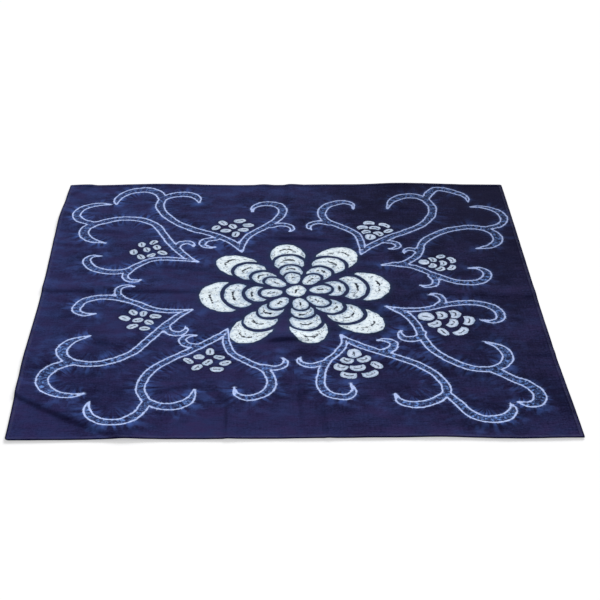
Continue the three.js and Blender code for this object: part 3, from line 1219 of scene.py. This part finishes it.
def indigo_cotton(cloth, pattern, dyes):
    """The cloth's material: woven cotton, dyed, with the undyed pattern read from the sheet's attributes, and
    with painted shade along the creases and on the hem's rim.
    """
    material, w, shader = new_material("Indigo cotton")
    read = {
        name: w.add("ShaderNodeAttribute", attribute_name=name).outputs
        for name in ("cloth_place", "painted_crease_shade", "scroll_gap", "scroll_run", "patch_gaps", "patch_marks")
    }
    place = read["cloth_place"]["Vector"]
    gap = read["scroll_gap"]["Fac"]
    weave = place_group(w, plain_weave_group(), Place=place)
    ground = place_group(
        w, dyed_ground_group(), Place=place, Scroll_Gap=gap, Streak=weave["Streak"],
        Ground=dyes.ground, Violet=dyes.violet, Deep=dyes.deep_dye_and_shade, Pale=dyes.halo,
    )
    scroll = place_group(
        w, stitched_scroll_group(), Place=place, Gap=gap, Run=read["scroll_run"]["Fac"],
        Line_Width=pattern.line_width / MM,
    )
    patch = place_group(
        w, resist_patch_group(), Place=place, Heart=(pattern.flower_x / MM, pattern.flower_y / MM, 0.0),
        Gaps=read["patch_gaps"]["Vector"], Marks=read["patch_marks"]["Vector"],
    )
    hem = place_group(
        w, hem_shade_and_ridge_group(), Place=place, Half_Side=cloth.side / MM / 2, Width=cloth.hem_width / MM
    )

    # Painted shade along the creases' steep sides, read from the sheet.
    crease = w.ease(read["painted_crease_shade"]["Fac"], 0.02, 0.55, 0.0, 0.5)
    shade = w.most(patch["Shade"], scroll["Shade"], crease)
    undyed = w.blend(patch["Seed"], dyes.white, dyes.seed)
    undyed = w.layers(undyed, (patch["Tint"], dyes.tint), (patch["Crack"], dyes.crack))
    colour = w.layers(
        ground["Color"],
        # Painted shade along the creases, with the deeper dye beside seeds and scrolls.
        (shade, dyes.deep_dye_and_shade), (patch["Seep"], dyes.seep),
        (scroll["Halo"], dyes.halo), (scroll["Band"], dyes.band), (scroll["Line"], dyes.line),
        (patch["Mask"], undyed),
        # A paler band along the hem's ridge, then painted shade on its rounded rim.
        (hem["Pale Ridge"], dyes.pale_ridge), (hem["Rim Shade"], dyes.deep_dye_and_shade),
    )
    w.put(shader["Base Color"], colour)
    w.put(shader["Roughness"], w.ease(weave["Streak"], 0.0, 1.0, 0.95, 0.86))
    relief = w.math("SUBTRACT", weave["Height"], w.product(scroll["Line"], 0.6))
    bump = w.add("ShaderNodeBump", {"Strength": 0.35, "Distance": 0.0005, "Height": relief})
    w.put(shader["Normal"], bump.outputs["Normal"])
    w.put(shader["Specular IOR Level"], 0.02)
    return material


FUZZ_GRAIN = 0.6 * MM  # size of the thread's fuzz
FUZZ_LIGHTER = 1.5  # how much lighter the fuzz is than the thread


def sewing_thread(dyes):
    """The hem's thread: twisted cotton, a shade off the ground."""
    material, w, shader = new_material("Sewing thread")
    place = w.add("ShaderNodeTexCoord").outputs["Object"]
    fuzz = w.grain(place, FUZZ_GRAIN)
    pale = [min(1.0, FUZZ_LIGHTER * part) for part in dyes.thread]
    w.put(shader["Base Color"], w.blend(fuzz, dyes.thread, pale))
    w.put(shader["Roughness"], w.ease(fuzz, 0.3, 0.7, 0.75, 0.9))
    bump = w.add("ShaderNodeBump", {"Strength": 0.4, "Distance": 0.0001, "Height": fuzz})
    w.put(shader["Normal"], bump.outputs["Normal"])
    return material


def pale_floor(colour, glow):
    """The stage's floor, which gives some white light of its own."""
    material, w, shader = new_material("Pale floor")
    w.put(shader["Base Color"], colour)
    w.put(shader["Emission Color"], (1.0, 1.0, 1.0))
    w.put(shader["Emission Strength"], glow)
    w.put(shader["Roughness"], 0.9)
    w.put(shader["Specular IOR Level"], 0.0)
    return material


# Pieces


def new_piece(name, data):
    """A new object in the scene with this mesh, light or camera."""
    piece = bpy.data.objects.new(name, data)
    bpy.context.scene.collection.objects.link(piece)
    return piece


def recentred(places, half):
    """Places moved so that the cloth's waved outline is centred on the solid's box, in metres."""
    ring = np.linspace(-half, half, OUTLINE_POINTS)
    side = np.full_like(ring, half)
    edges = [np.column_stack(pair) for pair in ((ring, side), (ring, -side), (side, ring), (-side, ring))]
    outline = waved_places(np.concatenate(edges), half)
    outline_middle = (outline.min(axis=0) + outline.max(axis=0)) / 2
    solid_middle = np.mean(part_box(CLOTH_NODE), axis=0)[:2]
    return (places - outline_middle) * MM + solid_middle


def cloth_points(cloth, flat):
    """Top and underside points of the lying cloth, in metres, for points of the flat cloth in millimetres."""
    half = cloth.side / MM / 2
    places = waved_places(flat, half)
    lift = cloth_lift(places, cloth.ripple / MM) + hem_rise(cloth, flat)
    top, under = hem_section(cloth, flat)
    spread = recentred(places, half)
    return np.column_stack([spread, (lift + top) * MM]), np.column_stack([spread, (lift + under) * MM])


class TABLECLOTH_OT_lay_cloth(bpy.types.Operator):
    """Lay the hemmed cloth on its folds and dye its pattern"""

    bl_idname = "tablecloth.lay_cloth"
    bl_label = "Lay the Cloth"

    def execute(self, context):
        scene = context.scene
        cloth, pattern, dyes = scene.tablecloth_sizes, scene.tablecloth_pattern, scene.tablecloth_dyes
        lines = grid_lines(cloth)
        flat = np.stack(np.meshgrid(lines, lines), axis=-1).reshape(-1, 2)
        top, under = cloth_points(cloth, flat)
        top_faces, under_faces, rim_faces = sheet_faces(len(lines))
        faces = np.concatenate([top_faces, under_faces, rim_faces])
        mesh = bpy.data.meshes.new("cloth")
        mesh.from_pydata(np.concatenate([top, under]), [], faces, shade_flat=False)
        chart_pattern(mesh, flat, faces, pattern)
        # Painted shade in the creases, from the steepness of their short sides.
        creases = painted_crease_shade(waved_places(flat, cloth.side / MM / 2))
        write_attribute(mesh, "painted_crease_shade", "FLOAT", "POINT", np.tile(creases, 2))
        write_bake_map(mesh, flat, faces, len(top_faces), cloth.side / MM)
        mesh.materials.append(indigo_cotton(cloth, pattern, dyes))
        piece = new_piece("cloth", mesh)
        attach(piece, "root")
        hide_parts(CLOTH_NODE)
        return {"FINISHED"}


def stitch_template(cloth):
    """One stitch along X about the origin, sunk at both ends: its points and faces."""
    radius, half = cloth.thread / 2, cloth.stitch_length / 2
    points, faces = [], []
    for ring in STITCH_RINGS:
        for side in range(STITCH_SIDES):
            angle = 2 * math.pi * side / STITCH_SIDES
            rise = ring.height + ring.girth * math.sin(angle)
            points.append((ring.along * half, radius * ring.girth * math.cos(angle), radius * rise))
    last = len(points) - STITCH_SIDES
    for start in range(0, last, STITCH_SIDES):
        for side in range(STITCH_SIDES):
            a, b = start + side, start + (side + 1) % STITCH_SIDES
            faces.append((a, b, b + STITCH_SIDES, a + STITCH_SIDES))
    caps = [range(STITCH_SIDES)[::-1], range(last, len(points))]
    return np.array(points), faces + [tuple(cap) for cap in caps]


class TABLECLOTH_OT_sew_hem(bpy.types.Operator):
    """Sew a row of stitches along the hem"""

    bl_idname = "tablecloth.sew_hem"
    bl_label = "Sew the Hem"

    def execute(self, context):
        cloth, dyes = context.scene.tablecloth_sizes, context.scene.tablecloth_dyes
        sheet = bpy.data.objects.get("cloth")
        if sheet is None:
            raise RuntimeError("Lay the cloth before its hem is sewn")
        seam = (cloth.side / 2 - cloth.stitch_inset) / MM
        count = int(2 * seam * MM / cloth.stitch_pitch)
        run = (np.arange(count) + 0.5) / count * 2 * seam - seam
        level = np.full(count, seam)
        rows = ((run, -level), (level, run), (-run, level), (-level, -run))
        template, sides = stitch_template(cloth)
        points, faces = [], []
        for row in rows:
            seats = cloth_points(cloth, np.column_stack(row))[0]
            ahead = np.gradient(seats, axis=0)
            ahead /= np.linalg.norm(ahead, axis=1)[:, None]
            left = np.cross((0.0, 0.0, 1.0), ahead)
            left /= np.linalg.norm(left, axis=1)[:, None]
            up = np.cross(ahead, left)
            axes = np.stack([ahead, left, up], axis=1)
            for seat, turn in zip(seats, axes):
                base = len(points) * len(template)
                faces.extend([base + corner for corner in face] for face in sides)
                points.append(template @ turn + seat)
        mesh = bpy.data.meshes.new("hem_stitches")
        mesh.from_pydata(np.concatenate(points), [], faces, shade_flat=False)
        mesh.materials.append(sewing_thread(dyes))
        piece = new_piece("hem_stitches", mesh)
        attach(piece, "root")
        return {"FINISHED"}


class TABLECLOTH_OT_set_studio(bpy.types.Operator):
    """Set the pale floor, the soft light and the camera"""

    bl_idname = "tablecloth.set_studio"
    bl_label = "Set the Studio"

    def execute(self, context):
        scene = context.scene
        studio = scene.tablecloth_studio
        half = studio.floor_side / 2
        mesh = bpy.data.meshes.new("floor")
        corners = [(-half, -half), (half, -half), (half, half), (-half, half)]
        mesh.from_pydata([(x, y, -studio.floor_drop) for x, y in corners], [], [(0, 1, 2, 3)])
        mesh.materials.append(pale_floor(studio.floor_colour, studio.floor_glow))
        new_piece("floor", mesh)

        world = bpy.data.worlds.new("Studio")
        world.use_nodes = True
        background = world.node_tree.nodes["Background"].inputs
        background["Color"].default_value = (1.0, 1.0, 1.0, 1.0)
        background["Strength"].default_value = studio.sky
        scene.world = world

        lamp = bpy.data.lights.new("Soft lamp", "SUN")
        lamp.energy = studio.lamp
        lamp.angle = studio.lamp_spread
        lamp_turn = Matrix.Rotation(studio.lamp_bearing + math.pi / 2, 4, "Z")
        lamp_tilt = Matrix.Rotation(math.pi / 2 - studio.lamp_height, 4, "X")
        new_piece("Soft lamp", lamp).matrix_world = lamp_turn @ lamp_tilt

        view = bpy.data.cameras.new("Camera")
        view.lens = studio.lens
        camera = new_piece("Camera", view)
        camera.matrix_world = (
            Matrix.Translation((studio.camera_x, studio.camera_y, studio.camera_z))
            @ Matrix.Rotation(-studio.yaw, 4, "Z")
            @ Matrix.Rotation(math.pi / 2 - studio.pitch, 4, "X")
            @ Matrix.Rotation(studio.roll, 4, "Z")
        )
        scene.camera = camera
        scene.view_settings.view_transform = "Standard"
        return {"FINISHED"}


class TABLECLOTH_PT_panel(bpy.types.Panel):
    """Settings and steps of the tablecloth"""

    bl_idname = "TABLECLOTH_PT_panel"
    bl_label = "Indigo Tablecloth"
    bl_space_type = "VIEW_3D"
    bl_region_type = "UI"
    bl_category = "Tablecloth"

    def draw(self, context):
        for settings, operators in PANEL_ROWS:
            box = self.layout.box()
            for holder in settings:
                group = getattr(context.scene, holder)
                for name in group.__annotations__:
                    box.prop(group, name)
            for operator in operators:
                box.operator(operator.bl_idname)


SETTINGS = {
    "tablecloth_sizes": ClothSizes,
    "tablecloth_pattern": PatternSizes,
    "tablecloth_dyes": DyeColours,
    "tablecloth_studio": StudioSettings,
}
OPERATORS = (TABLECLOTH_OT_lay_cloth, TABLECLOTH_OT_sew_hem, TABLECLOTH_OT_set_studio)
PANEL_ROWS = (
    (("tablecloth_sizes", "tablecloth_pattern", "tablecloth_dyes"), OPERATORS[:2]),
    (("tablecloth_studio",), OPERATORS[2:]),
)
CLASSES = (*SETTINGS.values(), *OPERATORS, TABLECLOTH_PT_panel)


def register():
    """Adds the settings, steps and panel to Blender."""
    for cls in CLASSES:
        bpy.utils.register_class(cls)
    for holder, cls in SETTINGS.items():
        setattr(bpy.types.Scene, holder, PointerProperty(type=cls))


def unregister():
    """Takes them out again."""
    for holder in SETTINGS:
        delattr(bpy.types.Scene, holder)
    for cls in reversed(CLASSES):
        bpy.utils.unregister_class(cls)


def main():
    """Makes the tablecloth and its stage."""
    register()
    bpy.ops.tablecloth.lay_cloth()
    bpy.ops.tablecloth.sew_hem()
    bpy.ops.tablecloth.set_studio()


if __name__ == "__main__":
    main()
